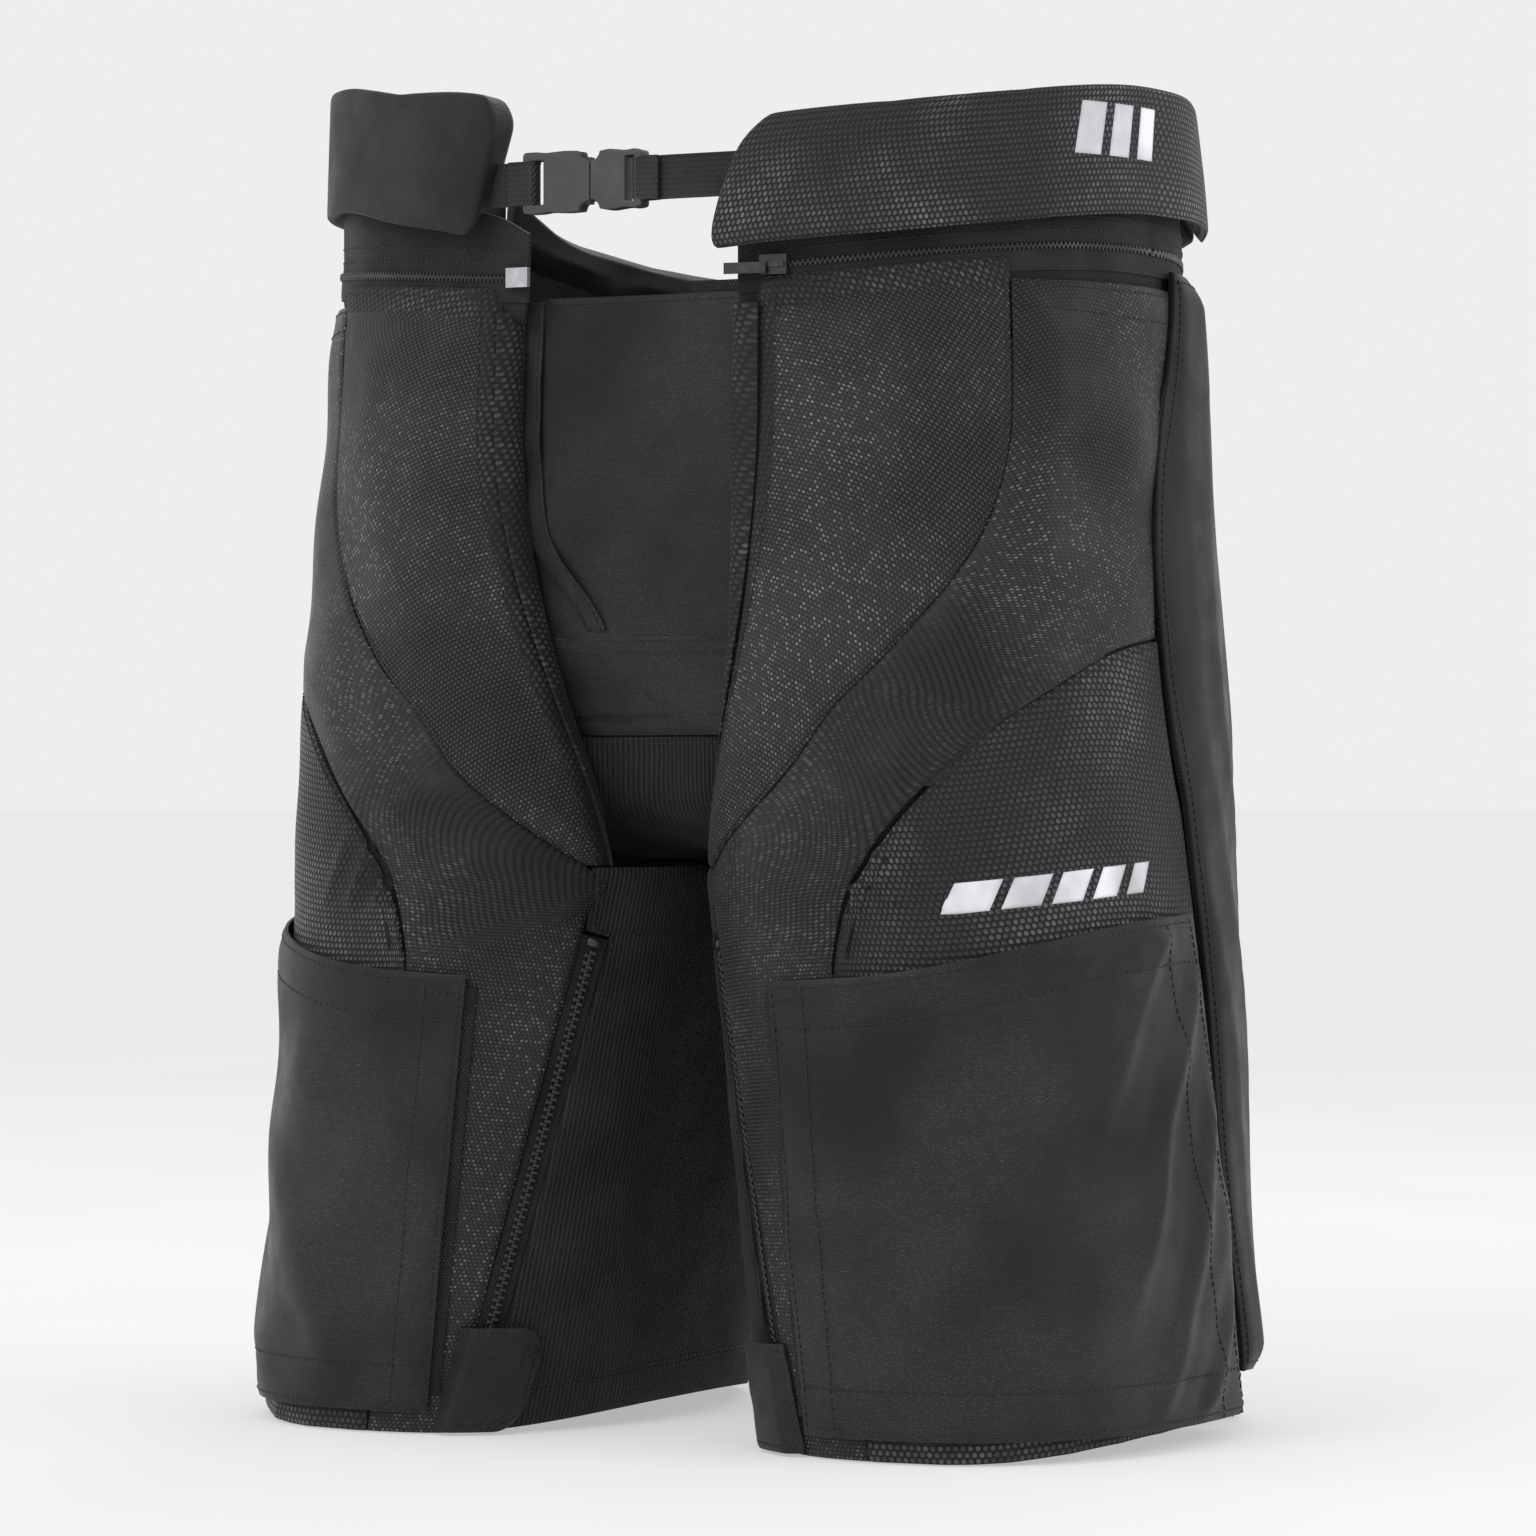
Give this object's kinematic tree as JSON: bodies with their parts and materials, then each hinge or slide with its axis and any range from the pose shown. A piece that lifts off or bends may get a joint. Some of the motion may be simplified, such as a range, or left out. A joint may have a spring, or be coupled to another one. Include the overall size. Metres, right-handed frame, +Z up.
{
  "type": "hockey pants",
  "caption": "Padded ice hockey pants with a buckled belt in two wings, a zip-off waist, thigh covers, side flaps, inner-leg zips, hem tabs and pads inside.",
  "frame": {"origin": "centre of the footprint, on the plane the two hems stand on", "axes": "+X to the wearer's left, -Y to the front, +Z up"},
  "size_m": [0.4744, 0.2848, 0.6291],
  "materials": {
    "mesh_fabric": "fine hexagonal mesh, black, slight sheen",
    "coarse_mesh_fabric": "open mesh with round holes, black",
    "twill_fabric": "tight woven, black, satin",
    "nylon_fabric": "plain woven nylon, black, soft sheen",
    "knit_fabric": "ribbed knit, black, dull",
    "hook_tape": "hook-and-loop tape, black",
    "webbing": "woven webbing, black",
    "pad_foam": "closed-cell foam, dark grey",
    "pad_plastic": "moulded polyethylene, black",
    "buckle_plastic": "moulded acetal, charcoal, fine texture",
    "zip_plastic": "moulded chain on woven tape, black",
    "zip_slider": "black enamelled",
    "zip_metal": "bright"
  },
  "bodies": {
    "pants": {"thigh_cover_left": "mesh_fabric", "mid_panel_left": "twill_fabric", "lower_mesh_left": "coarse_mesh_fabric", "seat_panel_left": "nylon_fabric", "leg_back_left": "nylon_fabric", "inner_knit_left": "knit_fabric", "hip_panel_left": "nylon_fabric", "thigh_plate_left": "pad_plastic", "thigh_foam_left": "pad_foam", "thigh_side_wall_left": "coarse_mesh_fabric", "hip_pad_left": "pad_foam", "hook_strip_left": "hook_tape", "leg_zip_left": "zip_plastic", "belt_cover_left": "mesh_fabric", "belt_foam_left": "pad_foam", "thigh_cover_right": "mesh_fabric", "mid_panel_right": "twill_fabric", "lower_mesh_right": "coarse_mesh_fabric", "seat_panel_right": "nylon_fabric", "leg_back_right": "nylon_fabric", "inner_knit_right": "knit_fabric", "hip_panel_right": "nylon_fabric", "thigh_plate_right": "pad_plastic", "thigh_foam_right": "pad_foam", "thigh_side_wall_right": "coarse_mesh_fabric", "hip_pad_right": "pad_foam", "hook_strip_right": "hook_tape", "leg_zip_right": "zip_plastic", "belt_cover_right": "twill_fabric", "belt_foam_right": "pad_foam", "strap_right": "webbing", "tailbone_pad": "pad_foam", "fly_panel": "nylon_fabric", "fly_band": "nylon_fabric", "fly_placket": "nylon_fabric", "fly_hook_tab": "hook_tape", "crotch_gusset": "knit_fabric", "waist_tape_lower": "webbing", "waist_tape_upper": "webbing", "waist_zip_chain": "zip_plastic", "waist_pin_box": "zip_metal", "belt_back": "nylon_fabric", "buckle_socket": "buckle_plastic"},
    "flap_left": {"thigh_flap_left": "nylon_fabric"},
    "flap_right": {"thigh_flap_right": "nylon_fabric"},
    "tab_left": {"hem_tab_left": "nylon_fabric"},
    "tab_right": {"hem_tab_right": "nylon_fabric"},
    "leg_slider_left": {"leg_slider_left": "zip_slider", "leg_pull_left": "zip_slider"},
    "leg_slider_right": {"leg_slider_right": "zip_slider", "leg_pull_right": "zip_slider"},
    "waist_slider": {"waist_slider": "zip_slider"},
    "waist_pull": {"waist_pull": "zip_metal"},
    "plug": {"buckle_plug": "buckle_plastic", "strap_left": "webbing"},
    "prong_top": {"buckle_prong_top": "buckle_plastic"},
    "prong_bottom": {"buckle_prong_bottom": "buckle_plastic"}
  },
  "joints": [
    {"name": "flap_open_left", "type": "hinge", "parent": "pants", "child": "flap_left", "pos_m": [0.2288, 0.02235, 0.125], "axis": [-0.0446, -0.1503, 0.9876], "range_deg": [0, 100]},
    {"name": "flap_open_right", "type": "hinge", "parent": "pants", "child": "flap_right", "pos_m": [-0.2288, 0.02235, 0.125], "axis": [-0.0446, 0.1503, -0.9876], "range_deg": [0, 100]},
    {"name": "tab_open_left", "type": "hinge", "parent": "pants", "child": "tab_left", "pos_m": [0.09037, -0.13116, 0.025], "axis": [-0.2525, 0.0799, 0.9643], "range_deg": [0, 90]},
    {"name": "tab_open_right", "type": "hinge", "parent": "pants", "child": "tab_right", "pos_m": [-0.09037, -0.13116, 0.025], "axis": [-0.2525, -0.0799, -0.9643], "range_deg": [0, 90]},
    {"name": "leg_zip_slide_left", "type": "slide", "parent": "pants", "child": "leg_slider_left", "axis": [-0.2257, 0.1249, 0.9661], "range_m": [0, 0.2]},
    {"name": "leg_zip_slide_right", "type": "slide", "parent": "pants", "child": "leg_slider_right", "axis": [0.2257, 0.1249, 0.9661], "range_m": [0, 0.2]},
    {"name": "waist_zip_slide", "type": "slide", "parent": "pants", "child": "waist_slider", "axis": [0.9894, 0.1295, 0.0654], "range_m": [0, 0.03]},
    {"name": "waist_pull_swing", "type": "hinge", "parent": "waist_slider", "child": "waist_pull", "pos_m": [0.07316, -0.12735, 0.53171], "axis": [0, 0, 1], "range_deg": [0, 150]},
    {"name": "buckle_release", "type": "slide", "parent": "pants", "child": "plug", "axis": [1, 0, 0], "range_m": [0, 0.022], "deforming": ["buckle_prong_top", "buckle_prong_bottom"]},
    {"name": "prong_squeeze_top", "type": "hinge", "parent": "plug", "child": "prong_top", "pos_m": [-0.01728, -0.12384, 0.584], "axis": [0, -1, 0], "range_deg": [0, 10], "stiffness_Nm_per_rad": 0.5},
    {"name": "prong_squeeze_bottom", "type": "hinge", "parent": "plug", "child": "prong_bottom", "pos_m": [-0.01728, -0.12384, 0.566], "axis": [0, 1, 0], "range_deg": [0, 10], "stiffness_Nm_per_rad": 0.5}
  ]
}
